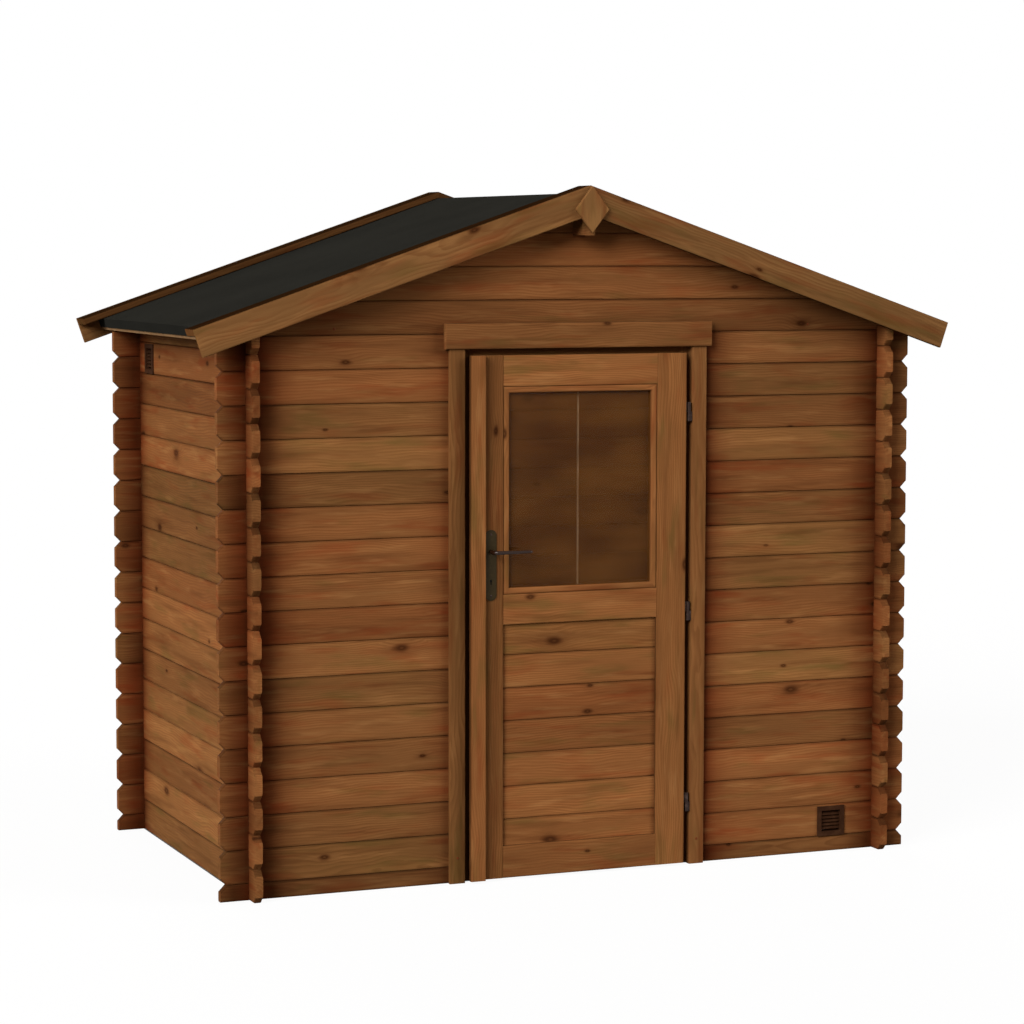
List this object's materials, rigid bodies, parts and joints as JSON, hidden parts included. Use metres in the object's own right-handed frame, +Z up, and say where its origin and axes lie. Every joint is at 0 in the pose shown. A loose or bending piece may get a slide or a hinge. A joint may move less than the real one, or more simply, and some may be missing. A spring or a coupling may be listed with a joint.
{
  "type": "garden shed",
  "caption": "Wooden garden shed of interlocking horizontal boards with a low felted ridge roof, barge boards and a half glazed door that opens outwards.",
  "frame": {"origin": "middle of the shed on the ground, below the centre of its box", "axes": "+X to the right along the front, -Y out of the door, +Z up"},
  "size_m": [2.794, 1.593, 2.3827],
  "materials": {
    "wall_boards": "brown pressure treated pine boards, matt, with knots and uneven tone",
    "roof_boards": "brown treated pine, sawn and matt",
    "frame_wood": "brown treated pine, planed",
    "roof_trim": "brown treated pine, planed",
    "roofing_felt": "dark mineral roofing felt",
    "vent_plastic": "dark brown moulded plastic",
    "hinge_steel": "dark bronzed steel",
    "door_wood": "brown treated pine, planed",
    "window_glass": "clear pane that looks brown against the dark inside",
    "dark_metal": "black lacquered steel"
  },
  "bodies": {
    "shed": {"front_wall_left": "wall_boards", "front_wall_right": "wall_boards", "front_gable": "wall_boards", "back_wall": "wall_boards", "back_gable": "wall_boards", "left_wall": "wall_boards", "right_wall": "wall_boards", "ridge_purlin": "roof_boards", "left_roof_deck": "roof_boards", "right_roof_deck": "roof_boards", "left_door_jamb": "frame_wood", "right_door_jamb": "frame_wood", "door_head": "frame_wood", "door_lintel": "frame_wood", "door_threshold": "frame_wood", "left_eave_strip": "roof_trim", "right_eave_strip": "roof_trim", "front_left_barge": "roof_trim", "front_right_barge": "roof_trim", "back_left_barge": "roof_trim", "back_right_barge": "roof_trim", "front_left_verge": "roof_trim", "front_right_verge": "roof_trim", "back_left_verge": "roof_trim", "back_right_verge": "roof_trim", "front_finial": "roof_trim", "back_finial": "roof_trim", "roof_felt": "roofing_felt", "front_vent": "vent_plastic", "side_vent": "vent_plastic", "frame_hinges": "hinge_steel"},
    "door": {"hinge_stile": "door_wood", "latch_stile": "door_wood", "top_rail": "door_wood", "middle_rail": "door_wood", "bottom_rail": "door_wood", "door_infill": "door_wood", "outer_window_bead": "door_wood", "inner_window_bead": "door_wood", "closing_strip": "door_wood", "window_pane": "window_glass", "outer_lock_plate": "dark_metal", "inner_lock_plate": "dark_metal", "door_hinges": "hinge_steel"},
    "lever": {"lever_handle": "dark_metal"}
  },
  "joints": [
    {"name": "door_swing", "type": "hinge", "parent": "shed", "child": "door", "pos_m": [0.4125, -0.6955, 0.9], "axis": [0, 0, 1], "range_deg": [0, 110]},
    {"name": "lever_turn", "type": "hinge", "parent": "door", "child": "lever", "pos_m": [-0.335, -0.6845, 1.14], "axis": [0, 1, 0], "range_deg": [0, 40], "stiffness_Nm_per_rad": 1.5, "springref_deg": -17.19}
  ]
}
